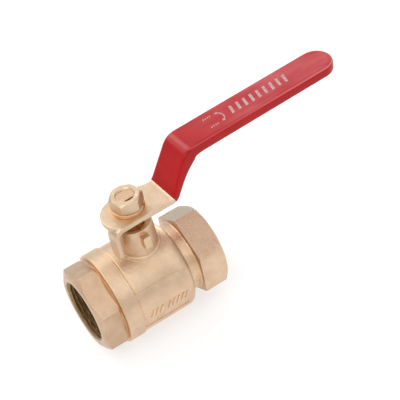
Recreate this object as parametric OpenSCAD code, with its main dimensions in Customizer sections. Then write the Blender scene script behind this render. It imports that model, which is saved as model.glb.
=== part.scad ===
// Quarter-turn brass ball valve, G 1 1/4 female by female, with a dipped steel lever.
// The pipe runs along +X, the stem stands along +Z, and the origin is the centre of the
// inlet port face. The lever is drawn against its open stop, pointing to the outlet.

/* [Ports] */
// Crest diameter of the internal G 1 1/4 pipe thread
thread_crest_d = 38.95; // [38.5:0.05:39.5]
// Length of full thread in each port
thread_len = 18; // [16:0.5:19]
// Distance between the two port faces
face_to_face = 92.5; // [91:0.5:94]

/* [End cap] */
// Across flats of the end cap's hexagon
cap_hex_af = 52; // [50:0.5:53]
// Length of the end cap's hexagon
cap_hex_len = 15.2; // [14:0.1:15.4]
// Angle at which the cap's hexagon ends up when it is screwed home
cap_hex_turn = 5; // [0:1:30]

/* [Body] */
// Distance from the inlet face to the stem axis
stem_x = 47.5; // [47:0.5:48]
// Diameter of the thick band round the cap thread
band_d = 62.2; // [61.5:0.1:64]
// Diameter of the barrel round the ball
barrel_d = 60.5; // [59:0.5:61]
// Diameter of the waist between barrel and outlet hexagon
waist_d = 46.4; // [45:0.2:48]
// Across flats of the outlet hexagon
outlet_hex_af = 51; // [49:0.5:52]
// Length of the outlet hexagon
outlet_hex_len = 17.9; // [16:0.1:18.5]
// Height of the neck's top above the pipe axis
neck_top_z = 48.9; // [48:0.1:49.5]
// Diameter of the neck at its top
neck_top_d = 24.4; // [24:0.2:26]

/* [Ball and stem] */
// Diameter of the ball
ball_d = 48; // [47:0.5:48]
// Diameter of the waterway through ball, seats and ports
waterway_d = 30; // [26:1:31]
// Diameter of the stem's smooth shank
stem_d = 14; // [13:0.5:14.5]
// Thread diameter of the stem's top end
stem_thread_d = 12; // [10:0.5:12]
// Distance across the two flats on the stem's top end
stem_flats = 8.6; // [7:0.2:9]

/* [Lever] */
// Angle that the lever stands past the pipe axis at its open stop
open_toe = 2.5; // [0:0.5:5]
// Thickness of the steel strip
strip_t = 3.2; // [2.5:0.1:3.4]
// Width of the strip round the stem
plate_w = 27.6; // [26:0.2:29]
// Width of the strip inside the grip
grip_core_w = 18.2; // [16:0.2:19]
// Height of the grip's middle above the pipe axis
grip_z = 82.2; // [78:0.5:88]
// Distance from the stem axis to the tip of the sleeve
grip_reach = 161.6; // [140:0.2:175]
// Slope of the ramp between plate and grip
ramp_angle = 54; // [48:1:60]
// Wall thickness of the dipped vinyl sleeve on the grip
sleeve_t = 2.4; // [1.5:0.1:2.6]
// Wall thickness of the sleeve where it starts on the ramp
sleeve_start_t = 0.8; // [0.6:0.1:1.2]

/* [Fasteners] */
// Across flats of the lever nut
nut_af = 19; // [18:0.5:19]
// Height of the lever nut
nut_h = 8.4; // [7:0.2:9]
// Outer diameter of the spring washer
washer_d = 21.2; // [20:0.2:22]
// Thickness of the spring washer
washer_t = 2.5; // [2:0.1:2.8]

/* [Hidden] */

$fn = 96;
eps = 0.01;
gap = 0.3;
running = 0.05;

brass = "burlywood";
steel = "tan";
white_ptfe = "white";
vinyl_red = "firebrick";
polished = "silver";

// Stations along the pipe, measured from the inlet face
thread_r = thread_crest_d / 2;
waterway_r = waterway_d / 2;
ball_r = ball_d / 2;
chamber_r = ball_r + 0.6;
band_start_x = cap_hex_len + 0.65;
band_end_x = band_start_x + 11.15;
hex_start_x = face_to_face - outlet_hex_len;
barrel_end_x = hex_start_x - 9.2;
spigot_r = 27.4;
spigot_end_x = stem_x - 18.5;
body_step_x = spigot_end_x + 0.5;
nose_end_x = stem_x - 14;
seat_r = 20.5;
seat_back = 20;
seat_front = 12.8;
chamber_end = seat_front + 0.2;
cap_rim_drop = 5.6;
cap_chamfer = 3.15;
cap_shoulder_r = 28.4;
outlet_rim_drop = 3.6;
outlet_chamfer = 2.8;

// Levels up the stem
ball_slot_z = 17;
ball_slot_w = 9;
tang_w = ball_slot_w - 2 * running;
tang_len = 14;
collar_r = 9.4;
collar_z = 25;
collar_top_z = 28.2;
thrust_top_z = 29.7;
packing_z = 35;
packing_step = 2.6;
packing_r = 10.2;
v_depth = 0.9;
gland_z = packing_z + 3 * packing_step;
gland_top_z = neck_top_z - 2;
plate_z = 56.8;
washer_z = plate_z + strip_t;
nut_z = washer_z + washer_t;
nut_top_z = nut_z + nut_h;
stem_top_z = nut_top_z - 0.4;
bore_r = stem_d / 2 + running;

// Neck, bead and stop lugs
neck_base_d = neck_top_d + 2;
bead_d = neck_base_d + 1.4;
open_lug_x = -2.4;
shut_lug_x = -3.9;
lug_reach = 17.2;
lug_w = 5.4;
lug_z = 37;
lug_h = 9.3;

// Lever, in its own frame: X along the grip, the stem axis at the origin
plate_mid_z = plate_z + strip_t / 2;
ramp_rise = grip_z - plate_mid_z;
ramp_start_x = 25.7;
ramp_end_x = ramp_start_x + ramp_rise / tan(ramp_angle);
bend_r = 6;
core_reach = grip_reach - sleeve_t;
lobe_r = 15.1;
lobe_x = -3.9;
lobe_y = -1.4;
neck_in_x = 19;
ramp_near = 14.9;
ramp_far = 10.3;
tongue_x = -17.9;
tongue_near = -plate_w / 2;
tongue_far = tongue_near + 9.4;
tongue_low_z = 37;
tongue_bend_r = 5.1;
tongue_tip_r = 2;
sleeve_start_x = 24.6;

// Points on an arc round [cx, cy] from angle a0 to a1
function arc(cx, cy, r, a0, a1, n = 8) =
    [for (i = [0:n]) let (a = a0 + (a1 - a0) * i / n) [cx + r * cos(a), cy + r * sin(a)]];

// Revolves an outline of [x, radius] points about the pipe axis
module turned_on_pipe(outline) {
    rotate([0, 90, 0])
        rotate_extrude()
            polygon([for (p = outline) [p[1], p[0]]]);
}

// A plain round hole or plug along the pipe
module pipe_cylinder(x0, x1, r) {
    translate([x0, 0, 0])
        rotate([0, 90, 0])
            cylinder(r = r, h = x1 - x0);
}

// Hexagon along the pipe with a corner upwards
module pipe_hex(x0, x1, af) {
    translate([x0, 0, 0])
        rotate([0, 90, 0])
            cylinder(d = af / cos(30), h = x1 - x0, $fn = 6);
}

module at_stem() {
    translate([stem_x, 0, 0])
        children();
}

// Everything that turns with the lever is drawn at the open stop
module turned_open() {
    at_stem()
        rotate([0, 0, open_toe])
            children();
}

module band_and_barrel() {
    edge = 0.7;
    waist_fillet = 1.2;
    hex_fillet = 1.5;
    band_r = band_d / 2;
    barrel_r = barrel_d / 2;
    waist_r = waist_d / 2;
    shoulder_r = barrel_r - waist_r - waist_fillet;
    shoulder_x = barrel_end_x - 4;
    waist_x = shoulder_x + shoulder_r + waist_fillet;
    hex_root_x = hex_start_x - hex_fillet;
    inside_hex_x = hex_start_x + 1;
    turned_on_pipe(concat(
        [[band_start_x, 0], [band_start_x, band_r - edge], [band_start_x + edge, band_r]],
        [[band_end_x - edge, band_r], [band_end_x, barrel_r]],
        arc(shoulder_x, barrel_r - shoulder_r, shoulder_r, 90, 0),
        arc(waist_x, waist_r + waist_fillet, waist_fillet, 180, 270, 4),
        arc(hex_root_x, waist_r + hex_fillet, hex_fillet, 270, 360, 4),
        [[inside_hex_x, waist_r + hex_fillet], [inside_hex_x, 0]]
    ));
}

// Hexagon along the pipe from its port face at x = 0, with that face's corners turned off to a cone
module port_hex(af, len, chamfer, rim_drop) {
    corner = af / cos(30) / 2;
    outside = corner + 1;
    intersection() {
        pipe_hex(0, len, af);
        turned_on_pipe([
            [0, 0], [0, corner - rim_drop], [chamfer * (rim_drop + 1) / rim_drop, outside],
            [len, outside], [len, 0]
        ]);
    }
}

module outlet_hex() {
    translate([face_to_face, 0, 0])
        mirror([1, 0, 0])
            port_hex(outlet_hex_af, outlet_hex_len, outlet_chamfer, outlet_rim_drop);
}

module neck() {
    neck_foot_z = 20;
    bead_h = 1.2;
    translate([0, 0, neck_foot_z])
        cylinder(d1 = neck_base_d, d2 = neck_top_d, h = neck_top_z - neck_foot_z);
    // Bead where the neck grows out of the barrel, following the barrel's curve
    intersection() {
        translate([0, 0, neck_foot_z])
            cylinder(d = bead_d, h = barrel_d);
        rotate([0, 90, 0])
            cylinder(d = barrel_d + 2 * bead_h, h = bead_d + 2, center = true);
    }
    stop_lug(-1, open_lug_x);
    stop_lug(1, shut_lug_x);
}

// Cast stop for the lever's tongue: side is -1 at the front and 1 at the back
module stop_lug(side, x) {
    root_y = 8;
    translate([x, side > 0 ? root_y : -lug_reach, lug_z])
        cube([lug_w, lug_reach - root_y, lug_h]);
}

// Raised land along the barrel's flank where the forging dies met
module parting_land(angle, width, proud) {
    root = 3;
    land_start = band_end_x - 1;
    land_end = barrel_end_x - 3;
    rotate([angle, 0, 0])
        translate([land_start, -barrel_d / 2 - proud, -width / 2])
            cube([land_end - land_start, root + proud, width]);
}

module body_cavity() {
    passage_end = face_to_face - thread_len;
    pipe_cylinder(band_start_x - eps, body_step_x, spigot_r + running);
    pipe_cylinder(body_step_x - eps, stem_x + chamber_end, chamber_r);
    pipe_cylinder(stem_x, stem_x + seat_back, seat_r + running);
    pipe_cylinder(stem_x, passage_end + eps, waterway_r);
    pipe_cylinder(passage_end, face_to_face + eps, thread_r);
    at_stem() {
        cylinder(r = collar_r + gap, h = thrust_top_z);
        cylinder(r = bore_r, h = neck_top_z + eps);
        translate([0, 0, packing_z])
            cylinder(r = packing_r, h = neck_top_z);
    }
}

module valve_body() {
    upper_land = -30;
    lower_land = 23;
    proud = 0.4;
    color(brass)
        difference() {
            union() {
                band_and_barrel();
                outlet_hex();
                at_stem()
                    neck();
                for (a = [upper_land, 180 - upper_land])
                    parting_land(a, 3.4, proud);
                for (a = [lower_land, 180 - lower_land])
                    parting_land(a, 1.2, proud);
            }
            body_cavity();
        }
}

module end_cap() {
    nose_r = chamber_r - gap;
    relief_r = spigot_r - 1;
    seat_floor_x = stem_x - seat_back;
    shoulder_end_x = band_start_x - running;
    color(brass)
        difference() {
            union() {
                rotate([cap_hex_turn, 0, 0])
                    port_hex(cap_hex_af, cap_hex_len, cap_chamfer, cap_rim_drop);
                turned_on_pipe([
                    [cap_hex_len - 1, 0], [cap_hex_len - 1, cap_shoulder_r],
                    [shoulder_end_x, cap_shoulder_r], [shoulder_end_x, relief_r],
                    [band_start_x + 0.5, relief_r], [band_start_x + 1, spigot_r],
                    [spigot_end_x, spigot_r], [spigot_end_x, nose_r], [nose_end_x, nose_r], [nose_end_x, 0]
                ]);
            }
            pipe_cylinder(-eps, thread_len, thread_r);
            pipe_cylinder(thread_len - eps, nose_end_x, waterway_r);
            pipe_cylinder(seat_floor_x, nose_end_x + eps, seat_r + running);
        }
}

module cap_gasket() {
    color(white_ptfe)
        difference() {
            pipe_cylinder(spigot_end_x, body_step_x, spigot_r - 0.1);
            pipe_cylinder(spigot_end_x - eps, body_step_x + eps, chamber_r);
        }
}

// Seat ring with a spherical face; side is -1 at the inlet and 1 at the outlet
module seat(side) {
    x0 = side < 0 ? -seat_back : seat_front;
    color(white_ptfe)
        at_stem()
            difference() {
                pipe_cylinder(x0, x0 + seat_back - seat_front, seat_r);
                pipe_cylinder(x0 - eps, x0 + seat_back, waterway_r + 0.3);
                sphere(r = ball_r + gap);
            }
}

module inlet_seat() {
    seat(-1);
}

module outlet_seat() {
    seat(1);
}

module ball() {
    color(polished)
        turned_open()
            difference() {
                sphere(r = ball_r);
                pipe_cylinder(-ball_d, ball_d, waterway_r);
                translate([-ball_slot_w / 2, -ball_d / 2, ball_slot_z])
                    cube([ball_slot_w, ball_d, ball_r]);
            }
}

// Round shank with two flats that face front and back, so they run along the pipe
module double_d(d, flats, h) {
    intersection() {
        cylinder(d = d, h = h);
        translate([-d, -flats / 2, 0])
            cube([2 * d, flats, h]);
    }
}

module stem() {
    color(brass)
        turned_open() {
            translate([-tang_w / 2, -tang_len / 2, ball_slot_z + gap])
                cube([tang_w, tang_len, collar_z - ball_slot_z]);
            translate([0, 0, collar_z])
                cylinder(r = collar_r, h = collar_top_z - collar_z);
            translate([0, 0, collar_top_z - eps])
                cylinder(d = stem_d, h = plate_z - collar_top_z + eps);
            translate([0, 0, plate_z - eps])
                double_d(stem_thread_d, stem_flats, stem_top_z - plate_z + eps);
        }
}

// Flat or grooved ring round the stem, given as [radius, z] points
module stem_ring(outline) {
    at_stem()
        rotate_extrude()
            polygon(outline);
}

module thrust_washer() {
    color(white_ptfe)
        stem_ring([
            [bore_r, collar_top_z + running], [collar_r, collar_top_z + running],
            [collar_r, thrust_top_z], [bore_r, thrust_top_z]
        ]);
}

// Packing ring number n from the bottom, with V faces of the given depth below and above
module packing(n, v_below, v_above) {
    z0 = packing_z + n * packing_step;
    z1 = z0 + packing_step;
    mid_r = (bore_r + packing_r) / 2;
    color(white_ptfe)
        stem_ring([
            [bore_r, z0], [mid_r, z0 + v_below], [packing_r, z0],
            [packing_r, z1], [mid_r, z1 + v_above], [bore_r, z1]
        ]);
}

module packing_lower() {
    packing(0, 0, v_depth);
}

module packing_middle() {
    packing(1, v_depth, v_depth);
}

module packing_upper() {
    packing(2, v_depth, 0);
}

// Hexagon standing on the stem axis, with its top corners chamfered
module chamfered_hex(af, h) {
    corner = af / cos(30) / 2;
    drop = (corner - af / 2) * tan(30);
    intersection() {
        cylinder(r = corner, h = h, $fn = 6);
        union() {
            cylinder(r = corner + 1, h = h - drop);
            translate([0, 0, h - drop])
                cylinder(r1 = corner, r2 = af / 2, h = drop);
        }
    }
}

// Round gland nut down in the neck, with a slot across it for a pin spanner
module gland_nut() {
    slot_w = 2.4;
    slot_depth = 1.4;
    color(brass)
        at_stem()
            difference() {
                translate([0, 0, gland_z])
                    cylinder(r = packing_r - running, h = gland_top_z - gland_z);
                translate([0, 0, gland_z - eps])
                    cylinder(r = stem_d / 2 + gap, h = gland_top_z);
                translate([-slot_w / 2, -packing_r, gland_top_z - slot_depth])
                    cube([slot_w, 2 * packing_r, slot_depth + eps]);
            }
}

// Centre line of the lever strip from the plate to the tip, with rounded bends
function strip_line(x0, x1) = let (k = bend_r * tan(ramp_angle / 2)) concat(
    [[x0, plate_mid_z]],
    arc(ramp_start_x - k, plate_mid_z + bend_r, bend_r, -90, ramp_angle - 90, 6),
    arc(ramp_end_x + k, grip_z - bend_r, bend_r, 90 + ramp_angle, 90, 6),
    [[x1, grip_z]]
);

// Unit normal of a path at point i, pointing to its left
function left_of(path, i) = let (
    a = path[max(i - 1, 0)],
    b = path[min(i + 1, len(path) - 1)],
    d = b - a
) [-d[1], d[0]] / norm(d);

// Outline of a band round a path, t0 thick at its first point and t1 at its last
function thick_line(path, t0, t1) = let (
    last = len(path) - 1,
    side = [for (i = [0:last]) left_of(path, i) * (t0 + (t1 - t0) * i / last) / 2]
) concat(
    [for (i = [0:last]) path[i] + side[i]],
    [for (i = [last:-1:0]) path[i] - side[i]]
);

// Side view of the bent strip, drawn in X and Z and wider across Y than the lever
module bent_strip(x0, x1, t0, t1) {
    rotate([90, 0, 0])
        linear_extrude(height = 2 * plate_w, center = true)
            polygon(thick_line(strip_line(x0, x1), t0, t1));
}

// Top view from the stem to the round tip, with the edges moved out by plate_wall and grip_wall
module strip_plan(plate_wall, grip_wall, tip_x) {
    near = ramp_near + plate_wall;
    far = ramp_far + plate_wall;
    grip_half = grip_core_w / 2 + grip_wall;
    polygon(concat(
        [[lobe_x, -plate_w / 2], [ramp_start_x - 1, -near]],
        [[ramp_end_x - 5.5, -grip_half - 0.5], [ramp_end_x, -grip_half]],
        arc(tip_x - grip_half, 0, grip_half, -90, 90, 24),
        [[ramp_end_x, grip_half], [neck_in_x, far], [neck_in_x - 8, plate_w / 2 - 0.6]],
        [[lobe_x, plate_w / 2]]
    ));
}

// Top view of the rounded end behind the stem
module lobe_plan() {
    intersection() {
        translate([lobe_x, lobe_y])
            circle(r = lobe_r);
        translate([lobe_x - lobe_r, -plate_w / 2])
            square([lobe_r + 1, plate_w]);
    }
}

module lever_tongue() {
    bend_centre = [tongue_x + tongue_bend_r, plate_mid_z - tongue_bend_r];
    path = concat(
        [[lobe_x, plate_mid_z]],
        arc(bend_centre[0], bend_centre[1], tongue_bend_r, 90, 180, 6),
        [[tongue_x, tongue_low_z]]
    );
    intersection() {
        translate([0, tongue_far, 0])
            rotate([90, 0, 0])
                linear_extrude(height = tongue_far - tongue_near)
                    polygon(thick_line(path, strip_t, strip_t));
        translate([lobe_x - lobe_r - strip_t, 0, 0])
            rotate([90, 0, 90])
                linear_extrude(height = 2 * lobe_r)
                    tongue_face();
    }
}

// The tongue seen along the pipe, with its lower corners rounded
module tongue_face() {
    low_z = tongue_low_z + tongue_tip_r;
    polygon(concat(
        arc(tongue_near + tongue_tip_r, low_z, tongue_tip_r, 180, 270),
        arc(tongue_far - tongue_tip_r, low_z, tongue_tip_r, 270, 360),
        [[tongue_far, grip_z], [tongue_near, grip_z]]
    ));
}

// The steel strip without its tongue, as wide as its own top view
module strip() {
    intersection() {
        bent_strip(lobe_x - lobe_r, core_reach, strip_t, strip_t);
        linear_extrude(height = 2 * grip_z) {
            strip_plan(0, 0, core_reach);
            lobe_plan();
        }
    }
}

module lever() {
    color(steel)
        turned_open()
            difference() {
                union() {
                    strip();
                    lever_tongue();
                }
                translate([0, 0, plate_z - 1])
                    double_d(stem_thread_d + 2 * running, stem_flats + 2 * running, strip_t + 2);
            }
}

module lever_sleeve() {
    start_t = strip_t + 2 * sleeve_start_t;
    grip_t = strip_t + 2 * sleeve_t;
    color(vinyl_red)
        turned_open()
            difference() {
                intersection() {
                    bent_strip(lobe_x, grip_reach, start_t, grip_t);
                    linear_extrude(height = 2 * grip_z)
                        intersection() {
                            strip_plan(sleeve_start_t, sleeve_t, grip_reach);
                            translate([sleeve_start_x, -plate_w])
                                square([grip_reach, 2 * plate_w]);
                        }
                }
                strip();
            }
}

// Coil washer with its split drawn straight down
module spring_washer() {
    split_angle = -40;
    split = 9;
    inner_r = stem_thread_d / 2 + gap;
    color(steel)
        at_stem()
            translate([0, 0, washer_z])
                rotate([0, 0, split_angle + split / 2])
                    rotate_extrude(angle = 360 - split)
                        translate([inner_r, 0])
                            square([washer_d / 2 - inner_r, washer_t]);
}

module lever_nut() {
    nut_turn = -75;
    color(steel)
        at_stem()
            translate([0, 0, nut_z])
                rotate([0, 0, nut_turn])
                    difference() {
                        chamfered_hex(nut_af, nut_h);
                        translate([0, 0, -eps])
                            cylinder(r = stem_thread_d / 2 + running / 2, h = nut_h + 2 * eps);
                    }
}

valve_body();
end_cap();
cap_gasket();
inlet_seat();
outlet_seat();
ball();
stem();
thrust_washer();
packing_lower();
packing_middle();
packing_upper();
gland_nut();
lever();
lever_sleeve();
spring_washer();
lever_nut();
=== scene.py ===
"""Looks of a quarter-turn brass ball valve with a dipped lever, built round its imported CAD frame."""

from math import acos, ceil, cos, pi, radians, sin, sqrt, tan

import bmesh
import bpy
import numpy as np
from mathutils import Matrix, Vector


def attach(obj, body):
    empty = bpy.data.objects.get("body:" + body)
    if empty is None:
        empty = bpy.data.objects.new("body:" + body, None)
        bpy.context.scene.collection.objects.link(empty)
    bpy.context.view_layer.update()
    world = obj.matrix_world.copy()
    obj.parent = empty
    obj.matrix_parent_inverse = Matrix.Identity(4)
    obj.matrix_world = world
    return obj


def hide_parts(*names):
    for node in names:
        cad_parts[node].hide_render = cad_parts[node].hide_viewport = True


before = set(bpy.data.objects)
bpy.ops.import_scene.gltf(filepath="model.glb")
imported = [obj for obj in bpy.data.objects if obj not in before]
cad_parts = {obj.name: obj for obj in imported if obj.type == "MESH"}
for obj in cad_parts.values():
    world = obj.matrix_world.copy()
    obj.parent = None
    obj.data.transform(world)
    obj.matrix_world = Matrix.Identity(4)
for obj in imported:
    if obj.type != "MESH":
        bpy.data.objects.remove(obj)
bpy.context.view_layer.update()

# Sizes are in millimetres until a mesh is made, and the pipe axis is X with the inlet face at 0.
MM = 0.001
TURN_STEPS = 288
# Clearance between parts that turn or screw into each other
FIT = 0.05

FACE_TO_FACE = 92.5
STEM_X = 47.5
THREAD_CREST_R = 19.475
THREAD_DEPTH = 1.25
THREAD_PITCH = 2.309
THREAD_LEN = 18.0
ENTRY_R = 21.3
WATERWAY_R = 15.0

CAP_HEX_AF = 52.0
CAP_HEX_LEN = 15.2
CAP_HEX_TURN = radians(-5)
CAP_RIM_R = CAP_HEX_AF / 2 / cos(pi / 6) - 5.6
CAP_CHAMFER = 3.15
CAP_SHOULDER_R = 28.3
SPIGOT_R = 27.4

BAND_START_X = 15.85
BAND_END_X = 27.0
BAND_R = 31.1
BARREL_R = 30.25
BARREL_SIDE_X = 67.25
SHOULDER_R = 5.85
WAIST_R = 23.2
HEX_START_X = 74.6
OUTLET_HEX_AF = 51.0
OUTLET_RIM_R = OUTLET_HEX_AF / 2 / cos(pi / 6) - 3.6
OUTLET_CHAMFER = 2.8

NECK_TOP_Z = 48.9
NECK_TOP_R = 12.2
NECK_FOOT_R = 13.2
BEAD_R = 13.9
PACKING_R = 10.2
GLAND_Z = 42.8
GLAND_TOP_Z = 46.9
STEM_R = 7.0
COLLAR_R = 9.4
COLLAR_POCKET_TOP_Z = 29.7
LUG_Z = 37.0
LUG_H = 9.3
LUG_REACH = 17.2

LEVER_TOE = radians(2.5)
STRIP_T = 3.2
PLATE_Z = 56.8
GRIP_Z = 82.2
RAMP_ANGLE = radians(54)
RAMP_START_X = 25.7
RAMP_END_X = RAMP_START_X + (GRIP_Z - PLATE_Z - STRIP_T / 2) / tan(RAMP_ANGLE)
BEND_R = 6.0
GRIP_REACH = 161.6
GRIP_HALF = 11.5
GRIP_HALF_T = 3.95
SLEEVE_START_X = 24.6


# ---------------------------------------------------------------- outlines


def divided(a, b, count):
    """Points strictly between a and b that divide the line into count equal parts."""
    return [a + (b - a) * i / count for i in range(1, count)]


def spaced(a, b, step):
    """Points strictly between a and b, no further apart than step."""
    return divided(a, b, ceil(np.linalg.norm(b - a) / step))


def rounded_corner(before, corner, after, radius):
    """Points of the arc that rounds one corner."""
    u = (before - corner) / np.linalg.norm(before - corner)
    v = (after - corner) / np.linalg.norm(after - corner)
    half = acos(float(np.clip(u @ v, -1, 1))) / 2
    middle = (u + v) / np.linalg.norm(u + v)
    centre = corner + middle * radius / sin(half)
    first = corner + u * radius / tan(half) - centre
    last = corner + v * radius / tan(half) - centre
    sweep = pi - 2 * half
    steps = max(3, ceil(radius * sweep / 0.25))
    arc = []
    for i in range(steps + 1):
        t = i / steps
        arc.append(centre + (first * sin((1 - t) * sweep) + last * sin(t * sweep)) / sin(sweep))
    return arc


def outline(corners, step=0.6, closed=False):
    """A path through corners (u, v, radius), rounded at each corner and evenly filled between."""
    points = [np.array(c[:2], float) for c in corners]
    count = len(points)
    path = []
    for i, (point, corner) in enumerate(zip(points, corners)):
        at_end = not closed and i in (0, count - 1)
        if corner[2] == 0 or at_end:
            run = [point]
        else:
            run = rounded_corner(points[i - 1], point, points[(i + 1) % count], corner[2])
        if path:
            path += spaced(path[-1], run[0], step)
        path += run
    if closed:
        path += spaced(path[-1], path[0], step)
    return np.array(path)


def smooth_min(a, b, blend):
    """The smaller of a and b, with the crease between them rounded over the width blend."""
    h = np.clip(0.5 + 0.5 * (b - a) / blend, 0, 1)
    return b + (a - b) * h - blend * h * (1 - h)


def hex_radius(theta, across_flats):
    """Distance from the axis to a hexagon's side, with a corner at theta 0."""
    return across_flats / 2 / np.cos((theta % (pi / 3)) - pi / 6)


# ---------------------------------------------------------------- meshes


def mesh_object(name, points, faces, sharp=32):
    """A clean closed mesh from points in millimetres, smooth except where faces meet sharply."""
    bm = bmesh.new()
    verts = [bm.verts.new(Vector(p) * MM) for p in points]
    for face in faces:
        bm.faces.new([verts[i] for i in face])
    bmesh.ops.remove_doubles(bm, verts=bm.verts, dist=0.002 * MM)
    bmesh.ops.recalc_face_normals(bm, faces=bm.faces)
    mesh = bpy.data.meshes.new(name)
    bm.to_mesh(mesh)
    bm.free()
    obj = bpy.data.objects.new(name, mesh)
    bpy.context.scene.collection.objects.link(obj)
    shade(obj, sharp)
    return obj


def shade(obj, sharp=32):
    """Smooth shading with creases where faces meet at more than sharp degrees."""
    mesh = obj.data
    mesh.polygons.foreach_set("use_smooth", [True] * len(mesh.polygons))
    bm = bmesh.new()
    bm.from_mesh(mesh)
    for edge in bm.edges:
        edge.smooth = len(edge.link_faces) == 2 and edge.calc_face_angle() < radians(sharp)
    bm.to_mesh(mesh)
    bm.free()


def grid_faces(rows, columns, wrap_rows, wrap_columns):
    faces = []
    for i in range(rows if wrap_rows else rows - 1):
        for j in range(columns if wrap_columns else columns - 1):
            a = i * columns + j
            b = i * columns + (j + 1) % columns
            below = ((i + 1) % rows) * columns
            faces.append((a, b, below + (j + 1) % columns, below + j))
    return faces


def turned(name, sections, place, steps=TURN_STEPS, sharp=32):
    """A closed turned shape. Each section is (path of (along, radius), rule or None), and a rule
    changes the along and radius arrays with the angle. place maps along, radius, angle to x, y, z."""
    theta = np.arange(steps) * 2 * pi / steps
    blocks = []
    for path, rule in sections:
        along = np.repeat(path[:, :1], steps, axis=1)
        radius = np.repeat(path[:, 1:], steps, axis=1)
        angle = np.repeat(theta[None, :], len(path), axis=0)
        if rule:
            along, radius = rule(along, radius, angle)
        blocks.append(np.stack(place(along, radius, angle), axis=-1))
    grid = np.concatenate(blocks)
    rows = len(grid)
    return mesh_object(name, grid.reshape(-1, 3), grid_faces(rows, steps, True, True), sharp)


def on_pipe(along, radius, angle):
    return along, radius * np.sin(angle), radius * np.cos(angle)


def on_stem(along, radius, angle):
    return STEM_X + radius * np.cos(angle), radius * np.sin(angle), along


def combine(target, other, operation):
    """Boolean of two closed meshes. The other object is used up."""
    modifier = target.modifiers.new("combine", "BOOLEAN")
    modifier.object = other
    modifier.operation = operation
    modifier.solver = "MANIFOLD"
    apply_modifiers(target)
    bpy.data.objects.remove(other)


def apply_modifiers(obj):
    graph = bpy.context.evaluated_depsgraph_get()
    mesh = bpy.data.meshes.new_from_object(obj.evaluated_get(graph))
    obj.modifiers.clear()
    obj.data = mesh


def rounded_block(low, high, radius):
    """A box with rounded edges, as a work piece for combine."""
    bm = bmesh.new()
    bmesh.ops.create_cube(bm, size=1)
    for v in bm.verts:
        for k in range(3):
            v.co[k] = (low[k] if v.co[k] < 0 else high[k]) * MM
    bmesh.ops.bevel(bm, geom=bm.edges[:], offset=radius * MM, segments=4, profile=0.5, affect="EDGES")
    mesh = bpy.data.meshes.new("block")
    bm.to_mesh(mesh)
    bm.free()
    obj = bpy.data.objects.new("block", mesh)
    bpy.context.scene.collection.objects.link(obj)
    return obj


# ---------------------------------------------------------------- shader nodes


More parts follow.
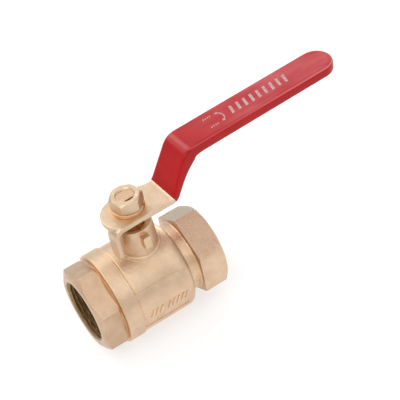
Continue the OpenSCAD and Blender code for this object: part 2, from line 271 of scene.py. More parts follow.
class Shader:
    """A principled material with short calls for the nodes that feed it."""

    def __init__(self, name, **sockets):
        self.material = bpy.data.materials.new(name)
        self.material.use_nodes = True
        self.tree = self.material.node_tree
        self.main = self.tree.nodes["Principled BSDF"]
        for socket, value in sockets.items():
            self.main.inputs[socket.replace("_", " ")].default_value = value
        self.place = self.add("ShaderNodeTexCoord").outputs["Object"]

    def add(self, kind, **settings):
        node = self.tree.nodes.new(kind)
        for key, value in settings.items():
            setattr(node, key, value)
        return node

    def link(self, value, socket):
        if isinstance(value, (int, float, tuple)):
            socket.default_value = value
        else:
            self.tree.links.new(value, socket)

    def math(self, operation, a, b):
        node = self.add("ShaderNodeMath", operation=operation)
        self.link(a, node.inputs[0])
        self.link(b, node.inputs[1])
        return node.outputs[0]

    def stretched(self, scale):
        """Object coordinates scaled by a different factor along each axis."""
        node = self.add("ShaderNodeMapping")
        self.link(self.place, node.inputs["Vector"])
        node.inputs["Scale"].default_value = scale
        return node.outputs[0]

    def noise(self, size_mm, detail=2.0, vector=None, roughness=0.5):
        """Noise with features about size_mm wide, from 0 to 1."""
        node = self.add("ShaderNodeTexNoise")
        self.link(vector or self.place, node.inputs["Vector"])
        node.inputs["Scale"].default_value = 1 / (size_mm * MM)
        node.inputs["Detail"].default_value = detail
        node.inputs["Roughness"].default_value = roughness
        return node.outputs["Fac"]

    def span(self, value, low, high, to_low, to_high):
        """Maps low..high to to_low..to_high and clamps."""
        node = self.add("ShaderNodeMapRange")
        for v, socket in zip((value, low, high, to_low, to_high), node.inputs):
            self.link(v, socket)
        return node.outputs[0]

    def mix(self, amount, a, b):
        node = self.add("ShaderNodeMix", data_type="RGBA")
        self.link(amount, node.inputs["Factor"])
        self.link(a, node.inputs[6])
        self.link(b, node.inputs[7])
        return node.outputs[2]

    def bump(self, height, depth_mm, under=None):
        """Normals bent by a height from 0 to 1 that stands for depth_mm, on top of the bump under it."""
        node = self.add("ShaderNodeBump")
        node.inputs["Distance"].default_value = depth_mm * MM
        node.inputs["Strength"].default_value = 1.0
        self.link(height, node.inputs["Height"])
        if under:
            self.link(under, node.inputs["Normal"])
        return node.outputs[0]

    def from_pipe_axis(self):
        """Distance from the pipe axis, in metres."""
        parts = self.add("ShaderNodeSeparateXYZ")
        self.link(self.place, parts.inputs[0])
        flat = self.add("ShaderNodeCombineXYZ")
        self.link(parts.outputs["Y"], flat.inputs["Y"])
        self.link(parts.outputs["Z"], flat.inputs["Z"])
        length = self.add("ShaderNodeVectorMath", operation="LENGTH")
        self.link(flat.outputs[0], length.inputs[0])
        return length.outputs["Value"]

    def along(self, axis, start, width):
        """0 before start and 1 after it along one axis, softened over width, in millimetres."""
        parts = self.add("ShaderNodeSeparateXYZ")
        self.link(self.place, parts.inputs[0])
        return self.span(parts.outputs[axis], (start - width / 2) * MM, (start + width / 2) * MM, 0.0, 1.0)

    def painted_crevice_shade(self):
        """1 deep in corners and under ledges, where painted warm shade is laid on the colour."""
        shelter = self.add("ShaderNodeAmbientOcclusion", samples=8)
        shelter.inputs["Distance"].default_value = 6 * MM
        return self.span(shelter.outputs["AO"], 0.35, 0.8, 1.0, 0.0)

    def worn_edges(self):
        """1 on convex edges and 0 elsewhere, broken up by noise."""
        point = self.add("ShaderNodeNewGeometry").outputs["Pointiness"]
        edge = self.span(point, 0.52, 0.58, 0.0, 1.0)
        return self.math("MULTIPLY", edge, self.span(self.noise(3.0), 0.35, 0.6, 0.3, 1.0))

    def finish(self, colour=None, roughness=None, normal=None):
        for value, socket in ((colour, "Base Color"), (roughness, "Roughness"), (normal, "Normal")):
            if value is not None:
                self.link(value, self.main.inputs[socket])
        return self.material


BRASS_BODY = (0.76, 0.565, 0.40, 1)
# Painted warm shade for corners, crevices and gaps
CREVICE_SHADE_TINT = (0.92, 0.55, 0.24, 1)
# Painted dark shade for the inside of the ports
BORE_SHADE_TINT = (0.20, 0.125, 0.045, 1)


def scaled(colour, red, green, blue):
    return (colour[0] * red, colour[1] * green, colour[2] * blue, 1)


def brass(name, body, rough, grain_mm, grain_depth, wave_depth):
    """Blasted brass: fine grain over slow undulations, burnished edges, painted orange shade in corners
    and painted dark shade in the bore. The outlet hexagon's upper faces carry milling marks and painted
    shade, and the far one has a greyer painted shade."""
    s = Shader(name, Metallic=1.0)
    darker_tone = scaled(body, 0.86, 0.82, 0.78)
    patches = s.span(s.noise(9.0, 4.0), 0.35, 0.65, 0.0, 1.0)
    speckle = s.span(s.noise(0.9, 3.0), 0.35, 0.65, 0.0, 1.0)
    colour = s.mix(s.math("MULTIPLY", speckle, 0.45), s.mix(patches, darker_tone, body), darker_tone)
    # Painted warm shade: the colour turns orange where ambient occlusion finds corners and ledges
    colour = s.mix(s.math("MULTIPLY", s.painted_crevice_shade(), 0.8), colour, CREVICE_SHADE_TINT)
    # Painted shade: the threaded bore inside the ports is darkened
    bore = s.span(s.from_pipe_axis(), (ENTRY_R - 0.7) * MM, (ENTRY_R + 0.1) * MM, 1.0, 0.0)
    colour = s.mix(s.math("MULTIPLY", bore, 0.85), colour, BORE_SHADE_TINT)
    edges = s.worn_edges()
    colour = s.mix(s.math("MULTIPLY", edges, 0.6), colour, scaled(body, 1.15, 1.15, 1.15))
    base = s.span(s.noise(5.0, 3.0), 0.3, 0.7, rough - 0.04, rough + 0.05)
    roughness = s.math("SUBTRACT", base, s.math("MULTIPLY", edges, 0.08))
    waves = s.bump(s.noise(4.0, 2.0), wave_depth)
    grain = s.bump(s.noise(grain_mm, 3.0, roughness=0.6), grain_depth, under=waves)
    # The outlet hexagon's upper faces: milling marks in the bump, and painted shade darkening their colour
    milled_and_shaded = s.math("MULTIPLY", s.along("X", HEX_START_X, 0.3), s.along("Z", 14.0, 5.0))
    colour = s.mix(s.math("MULTIPLY", milled_and_shaded, 0.45), colour, scaled(body, 0.74, 0.68, 0.68))
    # Painted shade: the far upper face of the outlet hexagon is made greyer
    far_face_shade = s.math("MULTIPLY", milled_and_shaded, s.along("Y", 0.0, 0.4))
    colour = s.mix(s.math("MULTIPLY", far_face_shade, 0.6), colour, scaled(body, 0.39, 0.46, 0.50))
    lines = s.noise(0.7, 3.0, s.stretched((0.4, 1.0, 1.0)), 0.6)
    marks = s.bump(s.math("MULTIPLY", lines, milled_and_shaded), 0.7, under=grain)
    return s.finish(colour, roughness, marks)


def cast_brass():
    return brass("cast_brass", BRASS_BODY, 0.36, 0.8, 0.28, 0.18)


def machined_brass():
    return brass("machined_brass", scaled(BRASS_BODY, 0.84, 0.80, 0.78), 0.34, 0.7, 0.20, 0.08)


def plated_steel():
    return brass("plated_steel", scaled(BRASS_BODY, 0.92, 0.955, 0.975), 0.36, 0.7, 0.12, 0.14)


def red_vinyl():
    """Dipped vinyl: soft gloss, a painted pale sheen on the grip's top face broken into faint runs, and a
    painted highlight along its top rim.
    """
    s = Shader("red_vinyl", Roughness=0.35, Specular_IOR_Level=0.12, Coat_Weight=0.2, Coat_Roughness=0.1)
    tint = s.span(s.noise(14.0, 3.0), 0.35, 0.65, 0.0, 1.0)
    colour = s.mix(tint, (0.37, 0.004, 0.005, 1), (0.43, 0.006, 0.007, 1))
    face_z = GRIP_Z + GRIP_HALF_T
    past_bend = s.span(s.along("X", 120.0, 40.0), 0.0, 1.0, 0.15, 1.0)
    # Painted sheen: past the bend the grip's top face is made paler and pinker, in faint streaks
    face = s.math("MULTIPLY", s.along("Z", face_z - 0.25, 0.5), past_bend)
    runs = s.span(s.noise(9.0, 3.0, s.stretched((0.35, 1.0, 1.0))), 0.35, 0.65, 0.3, 1.0)
    colour = s.mix(s.math("MULTIPLY", face, runs), colour, (0.49, 0.075, 0.085, 1))
    # Painted highlight along the grip's rounded top rim, strongest towards the tip
    rim_highlight = s.math("SUBTRACT", s.along("Z", face_z - 1.1, 0.6), s.along("Z", face_z - 0.3, 0.3))
    towards_tip = s.span(s.along("X", 165.0, 90.0), 0.0, 1.0, 0.25, 0.8)
    colour = s.mix(s.math("MULTIPLY", rim_highlight, towards_tip), colour, (0.72, 0.20, 0.21, 1))
    roughness = s.span(s.noise(6.0, 4.0), 0.3, 0.7, 0.32, 0.44)
    skin = s.bump(s.noise(5.0, 2.0), 0.15)
    pores = s.bump(s.noise(0.5, 2.0), 0.02, under=skin)
    return s.finish(colour, roughness, pores)


def pale_ink():
    s = Shader("pale_ink", Roughness=0.45)
    wear = s.span(s.noise(0.8, 3.0), 0.4, 0.6, 0.0, 1.0)
    colour = s.mix(wear, (0.42, 0.16, 0.17, 1), (0.52, 0.42, 0.43, 1))
    return s.finish(colour, None, s.bump(s.noise(0.6), 0.02))


def white_ptfe():
    s = Shader("white_ptfe", Roughness=0.4, Subsurface_Weight=0.1)
    colour = s.mix(s.noise(2.0, 3.0), (0.80, 0.79, 0.75, 1), (0.88, 0.87, 0.84, 1))
    return s.finish(colour, None, s.bump(s.noise(0.4), 0.02))


def grey_fibre():
    s = Shader("grey_fibre", Roughness=0.8)
    colour = s.mix(s.noise(0.5, 4.0), (0.03, 0.03, 0.03, 1), (0.09, 0.085, 0.08, 1))
    return s.finish(colour, None, s.bump(s.noise(0.3), 0.05))


def chrome():
    s = Shader("chrome", Metallic=1.0)
    colour = s.mix(s.noise(8.0), (0.70, 0.70, 0.70, 1), (0.80, 0.80, 0.79, 1))
    roughness = s.span(s.noise(3.0, 3.0), 0.3, 0.7, 0.08, 0.16)
    return s.finish(colour, roughness, s.bump(s.noise(0.6), 0.004))


MATERIALS = {
    "cast_brass": cast_brass(),
    "machined_brass": machined_brass(),
    "plated_steel": plated_steel(),
    "vinyl": red_vinyl(),
    "ptfe": white_ptfe(),
    "chromed_brass": chrome(),
    "graphite": grey_fibre(),
}


def dress(obj, slot):
    obj.data.materials.clear()
    obj.data.materials.append(MATERIALS[slot])


def stand_for(obj, node, body, slot):
    """A detailed piece that replaces one CAD node."""
    dress(obj, slot)
    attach(obj, body)
    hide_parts(node)


# ---------------------------------------------------------------- pipe fittings


def port_thread(face_x, inward):
    """Rule for a port's wall: an entry chamfer, then a right-hand internal thread."""

    def rule(along, radius, angle):
        depth = (along - face_x) * inward
        phase = (along / THREAD_PITCH + angle / (2 * pi)) % 1
        groove = np.clip(1.1 - 2.2 * np.abs(phase - 0.5), 0, 1)
        runout = np.clip((THREAD_LEN - 0.8 - depth) / THREAD_PITCH, 0, 1)
        thread = THREAD_CREST_R + THREAD_DEPTH * groove * runout
        entry = ENTRY_R - depth
        return along, np.maximum(thread, entry)

    return rule


def thread_path(x0, x1):
    return outline([(x0, THREAD_CREST_R, 0), (x1, THREAD_CREST_R, 0)], step=0.16)


def hex_rule(across_flats, turn):
    def rule(along, radius, angle):
        side = smooth_min(hex_radius(angle - turn, across_flats), across_flats * 0.5735, 0.3)
        return along, smooth_min(radius, side, 0.25)

    return rule


def end_cap():
    corner = CAP_HEX_AF / 2 / cos(pi / 6)
    hexagon = outline([
        (0, ENTRY_R, 0),
        (0, CAP_RIM_R, 0.5),
        (CAP_CHAMFER, corner, 0.6),
        (CAP_HEX_LEN - 1.3, corner, 0.4),
        (CAP_HEX_LEN, CAP_SHOULDER_R, 0),
    ], step=0.35)
    spigot_end_x = 29.0
    nose_x = 33.5
    nose_r = 24.3
    seat_x = 27.5
    seat_r = 20.6
    shoulder_end_x = BAND_START_X - FIT
    inside = outline([
        (CAP_HEX_LEN, CAP_SHOULDER_R, 0),
        (shoulder_end_x, CAP_SHOULDER_R, 0.2),
        (shoulder_end_x, SPIGOT_R - 1, 0),
        (BAND_START_X + 0.5, SPIGOT_R - 1, 0),
        (BAND_START_X + 1, SPIGOT_R, 0),
        (spigot_end_x, SPIGOT_R, 0.2),
        (spigot_end_x, nose_r, 0.2),
        (nose_x, nose_r, 0.5),
        (nose_x, seat_r, 0.2),
        (seat_x, seat_r, 0),
        (seat_x, WATERWAY_R, 0.2),
        (THREAD_LEN, WATERWAY_R, 0.3),
        (THREAD_LEN, THREAD_CREST_R, 0),
    ])
    port = thread_path(THREAD_LEN, 0)
    limit = hex_rule(CAP_HEX_AF, CAP_HEX_TURN)

    def hexagon_on_shoulder(along, radius, angle):
        """The flats run out into the round shoulder behind them, along a steep cone."""
        cone_slope = 2.4
        cone = CAP_SHOULDER_R - cone_slope * np.maximum(CAP_HEX_LEN - along, 0)
        along, limited = limit(along, radius, angle)
        return along, np.maximum(limited, np.minimum(cone, radius))

    return turned("end_cap_piece", [
        (hexagon, hexagon_on_shoulder),
        (inside, None),
        (port, port_thread(0, 1)),
    ], on_pipe)


def stadium(half_len, half_wide):
    """Outline of a bar with round ends, as (along, across)."""
    points = []
    for end in (1, -1):
        for i in range(13):
            a = pi * i / 12 - end * pi / 2
            points.append((end * half_len + half_wide * cos(a), half_wide * sin(a)))
    return points


def cast_bar(middle, angle, half_len, half_wide, proud, lean=0.0):
    """A crisp raised bar on the barrel, at an angle from the top towards +Y, leaning off the axis."""
    edge = 0.12
    # Each ring is (height above the barrel, inset), and the first is sunk into the metal.
    rings = ((-1.0, 0.0), (proud - edge, 0.0), (proud, edge))
    points = []
    for height, inset in rings:
        r = BARREL_R + height
        for u, v in stadium(half_len, half_wide - inset):
            along = middle + u * cos(lean) - v * sin(lean)
            across = u * sin(lean) + v * cos(lean)
            turn = angle + across / BARREL_R
            points.append((along, r * sin(turn), r * cos(turn)))
    count = len(points) // len(rings)
    faces = grid_faces(len(rings), count, False, True)
    faces.append(list(range(count)))
    faces.append(list(range(len(points) - count, len(points))))
    return mesh_object("cast_bar", points, faces)


def barrel_bars():
    """A raised land with a small pip and a thin seam on each flank, and two groups of strokes in front."""
    bars = []
    for side in (-1, 1):
        land_angle = side * radians(60)
        pip_angle = side * radians(61.5)
        seam_angle = side * radians(112)
        bars.append(cast_bar(41.7, land_angle, half_len=15.0, half_wide=1.75, proud=0.5))
        bars.append(cast_bar(62.0, pip_angle, half_len=0.2, half_wide=0.65, proud=0.45))
        bars.append(cast_bar(42.5, seam_angle, half_len=17.0, half_wide=0.45, proud=0.4))
    stroke_pitch = 3.2
    stroke_angle = radians(-93)
    stroke_lean = radians(65)
    for first_x, strokes in ((33.5, 3), (46.0, 5)):
        for i in range(strokes):
            x = first_x + i * stroke_pitch
            bars.append(cast_bar(x, stroke_angle, 2.5, 0.6, 0.55, stroke_lean))
    return bars


def barrel_rule(along, radius, angle):
    """Slow unevenness of the forged barrel, which never swells past its CAD radius."""
    depth = 0.05
    on_barrel = np.clip((BARREL_SIDE_X - 1 - along) / 2, 0, 1) * (along > BAND_END_X)
    uneven = depth * np.sin(3 * angle + along * 0.11) * np.sin(along * 0.21 + 1.3)
    return along, radius + on_barrel * (uneven - depth)


def valve_body_shell():
    """Everything on the body that is turned about the pipe axis, inside and out."""
    corner = OUTLET_HEX_AF / 2 / cos(pi / 6)
    hex_root_r = WAIST_R + 2.0
    groove_r = BARREL_R - 0.4
    groove_end_x = BAND_END_X + 1.0
    outside = outline([
        (BAND_START_X, SPIGOT_R + FIT, 0),
        (BAND_START_X, BAND_R, 0.9),
        (BAND_END_X, BAND_R, 0.55),
        (BAND_END_X + 0.1, groove_r, 0.15),
        (groove_end_x, BARREL_R, 0.5),
        (BARREL_SIDE_X, BARREL_R, SHOULDER_R),
        (BARREL_SIDE_X, WAIST_R, 1.2),
        (HEX_START_X, WAIST_R, 1.3),
        (HEX_START_X, hex_root_r, 0),
    ], step=0.4)
    hexagon = outline([
        (HEX_START_X, hex_root_r, 0),
        (HEX_START_X, corner, 0.6),
        (FACE_TO_FACE - OUTLET_CHAMFER, corner, 0.6),
        (FACE_TO_FACE, OUTLET_RIM_R, 0.5),
        (FACE_TO_FACE, ENTRY_R, 0),
    ], step=0.35)
    passage_x = FACE_TO_FACE - THREAD_LEN
    port = thread_path(FACE_TO_FACE, passage_x)
    seat_x = 67.5
    seat_r = 20.55
    chamber_start_x = 29.5
    chamber_end_x = 60.5
    chamber_r = 24.6
    inside = outline([
        (passage_x, THREAD_CREST_R, 0),
        (passage_x, WATERWAY_R, 0.3),
        (seat_x, WATERWAY_R, 0.2),
        (seat_x, seat_r, 0),
        (chamber_end_x, seat_r, 0.2),
        (chamber_end_x, chamber_r, 0),
        (chamber_start_x, chamber_r, 0.2),
        (chamber_start_x, SPIGOT_R + FIT, 0),
        (BAND_START_X, SPIGOT_R + FIT, 0),
    ])
    return turned("valve_body_piece", [
        (outside, barrel_rule),
        (hexagon, hex_rule(OUTLET_HEX_AF, 0)),
        (port, port_thread(FACE_TO_FACE, -1)),
        (inside, None),
    ], on_pipe)


def neck_foot_rule(along, radius, angle):
    """The foot's heights are measured from the barrel's curved top, which the bead follows."""
    saddle = np.sqrt(BARREL_R ** 2 - (radius * np.sin(angle)) ** 2)
    return saddle + along, radius


def neck_solid():
    """The conical neck, growing out of a rounded bead that follows the barrel."""
    bead_h = 1.9
    wall_z = 37.0
    wall_r = NECK_FOOT_R - 0.42
    cone_z = 38.0
    cone_r = NECK_FOOT_R - 0.46
    foot = outline([
        (-3.0, 9.0, 0),
        (-3.0, BEAD_R + 1.0, 0),
        (-0.25, BEAD_R + 1.0, 0.2),
        (0.1, BEAD_R + 0.5, 0.25),
        (bead_h, BEAD_R + 0.3, 0.9),
        (bead_h, NECK_FOOT_R - 0.35, 0.4),
    ], step=0.3)
    wall_start = outline([(wall_z, wall_r, 0), (cone_z, cone_r, 0)], step=0.5)
    top = outline([
        (cone_z, cone_r, 0),
        (NECK_TOP_Z, NECK_TOP_R, 0.5),
        (NECK_TOP_Z, 9.0, 0),
    ], step=0.5)
    return turned("neck", [(foot, neck_foot_rule), (wall_start, None), (top, None)], on_stem, steps=192)


def bore_cutter(radius, z0, z1):
    path = outline([(z0, 0.01, 0), (z0, radius, 0), (z1, radius, 0), (z1, 0.01, 0)], step=2)
    return turned("cutter", [(path, None)], on_stem, steps=96)


def valve_body():
    """The shell with its neck, two stop lugs and cast bars, bored for the stem and its packing."""
    body = valve_body_shell()
    combine(body, neck_solid(), "UNION")
    lug_w = 5.4
    lug_root = 8
    for side, x in ((-1, -2.4), (1, -3.9)):
        low_y, high_y = sorted((side * lug_root, side * LUG_REACH))
        low = (STEM_X + x, low_y, LUG_Z)
        high = (STEM_X + x + lug_w, high_y, LUG_Z + LUG_H)
        combine(body, rounded_block(low, high, 0.7), "UNION")
    for bar in barrel_bars():
        combine(body, bar, "UNION")
    chamber_z = 20
    packing_z = 35
    above_neck_z = 52
    for radius, z0, z1 in (
        (STEM_R + FIT, chamber_z, above_neck_z),
        (COLLAR_R + 2 * FIT, chamber_z, COLLAR_POCKET_TOP_Z),
        (PACKING_R, packing_z, above_neck_z),
    ):
        combine(body, bore_cutter(radius, z0, z1), "DIFFERENCE")
    shade(body)
    return body


# ---------------------------------------------------------------- stem, nuts and washer


def lever_nut():
    """Hexagon nut with deeply chamfered corners and a threaded bore."""
    across_flats = 19.0
    z0 = 62.5
    z1 = 70.9
    bore_r = 6.05
    thread_depth = 0.75
    pitch = 1.75
    corner = across_flats / 2 / cos(pi / 6)
    lip = bore_r + 0.25

    def bore(along, radius, angle):
        phase = (along / pitch - angle / (2 * pi)) % 1
        groove = np.clip(1.15 - 2.6 * np.abs(phase - 0.5) * 2, 0, 1)
        ends = np.minimum(along - z0, z1 - along)
        return along, np.maximum(bore_r - thread_depth + thread_depth * groove, lip - ends)

    outside = outline([
        (z1, lip, 0),
        (z1, across_flats / 2 - 0.8, 0.4),
        (z1 - 1.7, corner, 0.5),
        (z0 + 0.95, corner, 0.3),
        (z0, across_flats / 2 - 0.15, 0.25),
        (z0, lip, 0),
    ], step=0.3)
    inside = outline([(z0, lip, 0), (z1, lip, 0)], step=0.15)
    shape = hex_rule(across_flats, radians(-75))
    return turned("lever_nut_piece", [(outside, shape), (inside, bore)], on_stem, steps=192)


def gland_nut():
    """Round gland down in the neck, with a spanner slot across its top."""
    inner_r = STEM_R + 0.3
    outer_r = PACKING_R - FIT
    slot_half_w = 1.2
    slot_depth = 1.4
    section = outline([
        (GLAND_Z, inner_r, 0.2),
        (GLAND_Z, outer_r, 0.3),
        (GLAND_TOP_Z, outer_r, 0.4),
        (GLAND_TOP_Z, inner_r, 0.3),
    ], step=0.5, closed=True)
    gland = turned("gland_nut_piece", [(section, None)], on_stem, steps=144)
    slot_low = (STEM_X - slot_half_w, -12, GLAND_TOP_Z - slot_depth)
    slot_high = (STEM_X + slot_half_w, 12, GLAND_TOP_Z + 2)
    combine(gland, rounded_block(slot_low, slot_high, 0.2), "DIFFERENCE")
    shade(gland)
    return gland


def stem():
    """Tang, collar and shank, with two flats milled on the threaded end."""
    axis_r = 0.01
    tang_z = 17.3
    tang_r = 4.35
    collar_z = 25.0
    collar_top_z = 28.2
    thread_r = 5.96
    half_flats = 4.3
    top_z = 70.5
    path = outline([
        (tang_z, axis_r, 0),
        (tang_z, tang_r, 0),
        (collar_z, tang_r, 0),
        (collar_z, COLLAR_R, 0.3),
        (collar_top_z, COLLAR_R, 0.3),
        (collar_top_z, STEM_R, 0),
        (PLATE_Z, STEM_R, 0.4),
        (PLATE_Z, thread_r, 0),
        (top_z, thread_r, 0.9),
        (top_z, axis_r, 0),
    ], step=0.5)

    def flats(along, radius, angle):
        """Two flats above the shank, and a flat-sided tang below the collar."""
        across = np.maximum(np.abs(np.sin(angle - LEVER_TOE)), 0.01)
        lengthways = np.maximum(np.abs(np.cos(angle - LEVER_TOE)), 0.01)
        tang = np.minimum(4.4 / lengthways, 7.0 / across) * np.clip(radius / tang_r, 0, 1)
        shaped = np.where(along > PLATE_Z + 0.01, np.minimum(radius, half_flats / across), radius)
        return along, np.where(along < collar_z - 0.1, tang, shaped)

    return turned("stem_piece", [(path, flats)], on_stem, steps=192)


def spring_washer():
    """A square-section ring, split by a slanting cut and sprung slightly apart at the cut."""
    inner_r = 6.3
    outer_r = 10.6
    z0 = 60.0
    z1 = 62.5
    split_at = radians(-45)
    split = radians(14)
    slant_per_mm = 0.05
    section = outline([
        (inner_r, z0, 0.2),
        (outer_r, z0, 0.45),
        (outer_r, z1, 0.45),
        (inner_r, z1, 0.2),
    ], step=0.5, closed=True)
    middle_z = (z0 + z1) / 2
    turns = 140
    points = []
    for i in range(turns + 1):
        t = i / turns
        for r, z in section:
            slant = (z - middle_z) * slant_per_mm
            angle = split_at + split / 2 + t * (2 * pi - split) + slant
            points.append((STEM_X + r * cos(angle), r * sin(angle), z))
    count = len(section)
    faces = grid_faces(turns + 1, count, False, True)
    faces.append(list(range(count)))
    faces.append(list(range(turns * count, (turns + 1) * count)))
    return mesh_object("spring_washer_piece", points, faces)


# ---------------------------------------------------------------- lever


# From the lever's own frame, with the stem axis at the origin, to its place at rest
LEVER_PLACE = Matrix.Translation((STEM_X * MM, 0, 0)) @ Matrix.Rotation(LEVER_TOE, 4, "Z")


def lever():
    """The pressed strip: a copy of the CAD solid with its sheared edges softened."""
    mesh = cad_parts["lever"].data.copy()
    piece = bpy.data.objects.new("lever_piece", mesh)
    bpy.context.scene.collection.objects.link(piece)
    bm = bmesh.new()
    bm.from_mesh(mesh)
    bmesh.ops.remove_doubles(bm, verts=bm.verts, dist=0.001 * MM)
    bm.to_mesh(mesh)
    bm.free()
    mesh.transform(LEVER_PLACE.inverted())
    remesh = piece.modifiers.new("remesh", "REMESH")
    remesh.mode = "VOXEL"
    remesh.voxel_size = 0.36 * MM
    soften = piece.modifiers.new("soften", "SMOOTH")
    soften.factor = 0.5
    soften.iterations = 8
    apply_modifiers(piece)
    piece.data.transform(LEVER_PLACE)
    shade(piece, 60)
    return piece


def sleeve_line(tip_centre):
    """Side view of the sleeve's centre line, as (x, z), from its start in the lower bend."""
    low_z = PLATE_Z + STRIP_T / 2
    line = outline([
        (0, low_z, 0),
        (RAMP_START_X, low_z, BEND_R),
        (RAMP_END_X, GRIP_Z, BEND_R + 3),
        (tip_centre, GRIP_Z, 0),
    ], step=1.2)
    return line[line[:, 0] >= SLEEVE_START_X]


def sleeve_half_widths(x):
    """The sleeve's reach towards the tongue's side (-1) and away from it (1), tapering up the ramp."""
    near_x = [SLEEVE_START_X, RAMP_END_X - 5.5, RAMP_END_X]
    far_x = [SLEEVE_START_X, RAMP_END_X]
    near = np.interp(x, near_x, [15.0, 12.0, GRIP_HALF])
    far = np.interp(x, far_x, [11.1, GRIP_HALF])
    return {-1: float(near), 1: float(far)}


def sleeve_section(half_t, round_r):
    """(inset, height) pairs from the middle of the top edge round the side to the bottom."""
    pairs = []
    for i in range(9):
        a = pi / 2 * i / 8
        pairs.append((round_r * (1 - sin(a)), half_t - round_r * (1 - cos(a))))
    return pairs + [(inset, -height) for inset, height in reversed(pairs)]


def sleeve_ring(centre, tangent, turn, lip):
    """Points round the sleeve at one station. turn grows to a quarter turn round the tip, and lip is
    under 1 where the dipped edge thins out."""
    start_half_t = 2.1
    gathered_h = 2.4
    gathered_len = 5.5
    across = 14
    normal = np.array([-tangent[1], tangent[0]])
    up_ramp = float(np.clip((centre[0] - SLEEVE_START_X) / (RAMP_END_X - SLEEVE_START_X), 0, 1))
    half_t = start_half_t + (GRIP_HALF_T - start_half_t) * up_ramp
    half_t = STRIP_T / 2 + (half_t - STRIP_T / 2) * lip
    round_r = min(1.2 + 0.9 * up_ramp, half_t - 0.2)
    half_widths = sleeve_half_widths(centre[0])
    gathered = gathered_h * np.exp(-((centre[0] - RAMP_END_X + 1) / gathered_len) ** 2)

    def side_points(side):
        """From the top edge to the bottom edge, with the underside gathered at the upper bend."""
        found = []
        for inset, height in sleeve_section(half_t, round_r):
            reach = half_widths[side] - (1 - lip) * 0.6 - inset
            drop = gathered if height < 0 else 0
            x, z = centre + tangent * reach * sin(turn) + normal * (height - drop)
            found.append(np.array([x, side * reach * cos(turn), z]))
        return found

    near, far = side_points(-1), side_points(1)
    bottom = divided(near[-1], far[-1], across)
    top = divided(far[0], near[0], across)
    return near + bottom + far[::-1] + top


def lever_sleeve():
    """Vinyl skin round the ramp and grip, with a round tip and soft edges."""
    line = sleeve_line(GRIP_REACH - GRIP_HALF)
    tangents = np.gradient(line, axis=0)
    tangents /= np.linalg.norm(tangents, axis=1)[:, None]
    rings = []
    for i, (centre, tangent) in enumerate(zip(line, tangents)):
        lip = min(1.0, 0.7 + 0.3 * sqrt(i / 2))
        rings.append(sleeve_ring(centre, tangent, 0.0, lip))
    tip_steps = 22
    for i in range(1, tip_steps + 1):
        rings.append(sleeve_ring(line[-1], np.array([1.0, 0.0]), i / tip_steps * pi / 2, 1.0))
    points = [point for ring in rings for point in ring]
    count = len(rings[0])
    faces = grid_faces(len(rings), count, False, True)
    faces.append(list(range(count)))
    piece = mesh_object("lever_sleeve_piece", points, faces, sharp=50)
    piece.data.transform(LEVER_PLACE)
    return piece


def ink_pad(corners):
    """A thin raised patch of ink on the grip's top from its (x, y) outline in the lever's frame."""
    count = len(corners)
    proud = 0.04
    sunk = 0.26
    grip_top = GRIP_Z + GRIP_HALF_T
    points = [(x, y, z) for z in (grip_top - sunk, grip_top + proud) for x, y in corners]
    faces = grid_faces(2, count, False, True)
    return points, faces + [list(range(count)), list(range(count, 2 * count))]


def arc_arrow(centre_x, radius, sweep, width):
    """Outline of an arc with an arrowhead at both ends, open towards the stem."""
    steps = 20
    head = 3 * width
    outer, inner = [], []
    for i in range(steps + 1):
        a = sweep * (2 * i / steps - 1)
        outer.append((centre_x + (radius + width / 2) * cos(a), (radius + width / 2) * sin(a)))
        inner.append((centre_x + (radius - width / 2) * cos(a), (radius - width / 2) * sin(a)))
    heads = []
    for side in (1, -1):
        a = side * sweep
        point = a + side * 2.6 * width / radius
        heads.append([(centre_x + r * cos(t), r * sin(t))
                      for r, t in ((radius + head / 2, a), (radius, point), (radius - head / 2, a))])
    return outer + heads[0] + inner[::-1] + heads[1][::-1]


def slanted_bar(x, y, half_long, wide, lean):
    low, high = y - half_long, y + half_long
    return [(x - lean, low), (x - lean + wide, low), (x + lean + wide, high), (x + lean, high)]


def grip_marks():
    """Printed marks in place of words: a two-way arrow between small dashes, and a row of bars."""
    outlines = [arc_arrow(centre_x=72.0, radius=5.2, sweep=radians(50), width=0.8)]
    for i in range(9):
        outlines.append(slanted_bar(83.0 + 5.2 * i, 0, half_long=3.7, wide=1.9, lean=0.9))
    for side in (-1, 1):
        for i in range(4):
            outlines.append(slanted_bar(65.0 + 1.6 * i, 4.6 * side, half_long=0.75, wide=0.7, lean=0.2))
    points, faces = [], []
    for corners in outlines:
        pad_points, pad_faces = ink_pad(corners)
        faces += [[index + len(points) for index in face] for face in pad_faces]
        points += pad_points
    piece = mesh_object("grip_marks", points, faces)
    piece.data.transform(LEVER_PLACE)
    return piece


# ---------------------------------------------------------------- build the pieces

stand_for(valve_body(), "valve_body", "body", "cast_brass")
stand_for(end_cap(), "end_cap", "body", "machined_brass")
stand_for(gland_nut(), "gland_nut", "body", "machined_brass")
stand_for(stem(), "stem", "handle", "machined_brass")
stand_for(lever_nut(), "lever_nut", "handle", "plated_steel")
stand_for(spring_washer(), "spring_washer", "handle", "plated_steel")
stand_for(lever(), "lever", "handle", "plated_steel")
stand_for(lever_sleeve(), "lever_sleeve", "handle", "vinyl")

marks = grip_marks()
marks.data.materials.append(pale_ink())
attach(marks, "handle")

for node, slot in (
    ("cap_gasket", "graphite"),
    ("inlet_seat", "ptfe"),
    ("outlet_seat", "ptfe"),
    ("ball", "chromed_brass"),
    ("thrust_washer", "ptfe"),
    ("packing_lower", "ptfe"),
    ("packing_middle", "ptfe"),
    ("packing_upper", "ptfe"),
):
    dress(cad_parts[node], slot)


# ---------------------------------------------------------------- floor, light and camera


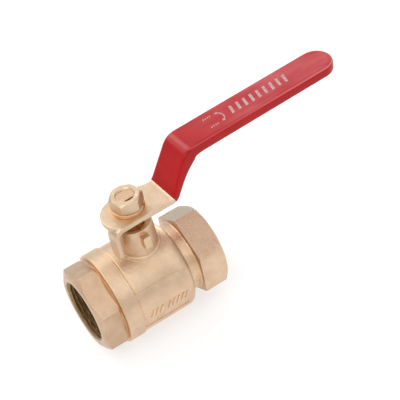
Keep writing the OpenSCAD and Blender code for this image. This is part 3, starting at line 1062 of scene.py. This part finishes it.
def floor():
    mesh = bpy.data.meshes.new("floor")
    half = 20.0
    z = -BAND_R * MM
    corners = [(-half, -half, z), (half, -half, z), (half, half, z), (-half, half, z)]
    mesh.from_pydata(corners, [], [(0, 1, 2, 3)])
    obj = bpy.data.objects.new("floor", mesh)
    bpy.context.scene.collection.objects.link(obj)
    s = Shader("floor_paper", Roughness=0.9, Emission_Color=(1, 1, 1, 1), Emission_Strength=0.62)
    s.finish((0.40, 0.40, 0.40, 1))
    obj.data.materials.append(s.material)


def softbox(name, place, aim, size, power, colour):
    data = bpy.data.lights.new(name, "AREA")
    data.shape = "RECTANGLE"
    data.size, data.size_y = size
    data.energy = power
    data.color = colour
    lamp = bpy.data.objects.new(name, data)
    lamp.location = place
    lamp.rotation_euler = (Vector(aim) - Vector(place)).to_track_quat("-Z", "Y").to_euler()
    bpy.context.scene.collection.objects.link(lamp)


def studio():
    """A pale room that is brightest overhead, with soft lights all round and the largest on the left."""
    world = bpy.data.worlds.new("studio")
    world.use_nodes = True
    nodes, links = world.node_tree.nodes, world.node_tree.links
    way = nodes.new("ShaderNodeTexCoord").outputs["Generated"]
    parts = nodes.new("ShaderNodeSeparateXYZ")
    links.new(way, parts.inputs[0])
    height = nodes.new("ShaderNodeMapRange")
    links.new(parts.outputs["Z"], height.inputs["Value"])
    for value, socket in zip((0.0, 0.8, 0.45, 1.1), height.inputs[1:5]):
        socket.default_value = value
    links.new(height.outputs[0], nodes["Background"].inputs["Strength"])
    nodes["Background"].inputs["Color"].default_value = (1, 1, 1, 1)
    bpy.context.scene.world = world
    centre = (0.06, 0, 0.03)
    for name, place, size, power, colour in (
        ("key_light", (-0.9, -0.6, 1.3), (0.9, 0.9), 4.5, (1.0, 0.99, 0.97)),
        ("back_light", (-0.35, 0.95, 0.95), (0.8, 0.5), 3.5, (0.98, 0.99, 1.0)),
        ("rim_light", (0.9, 1.0, 0.2), (0.5, 0.3), 2.4, (1.0, 1.0, 1.0)),
        ("top_light", (0.45, 0.95, 1.0), (0.7, 0.5), 0.6, (1.0, 1.0, 1.0)),
        ("front_light", (0.5, -0.95, 0.95), (0.2, 0.2), 0.8, (1.0, 1.0, 1.0)),
    ):
        softbox(name, place, centre, size, power, colour)
    bpy.context.scene.view_settings.view_transform = "Standard"


def camera():
    azimuth = radians(24.49)
    elevation = radians(42.46)
    roll = radians(12.7)
    place = Vector((-140.26, -517.18, 554.89)) * MM
    back = Vector((-sin(azimuth) * cos(elevation), -cos(azimuth) * cos(elevation), sin(elevation)))
    right = Vector((cos(azimuth), -sin(azimuth), 0))
    up = back.cross(right)
    right, up = right * cos(roll) - up * sin(roll), right * sin(roll) + up * cos(roll)
    data = bpy.data.cameras.new("camera")
    data.lens = 109.59
    data.sensor_width = 36
    obj = bpy.data.objects.new("camera", data)
    turn = Matrix((right, up, back)).transposed().to_4x4()
    obj.matrix_world = Matrix.Translation(place) @ turn
    bpy.context.scene.collection.objects.link(obj)
    bpy.context.scene.camera = obj


floor()
studio()
camera()
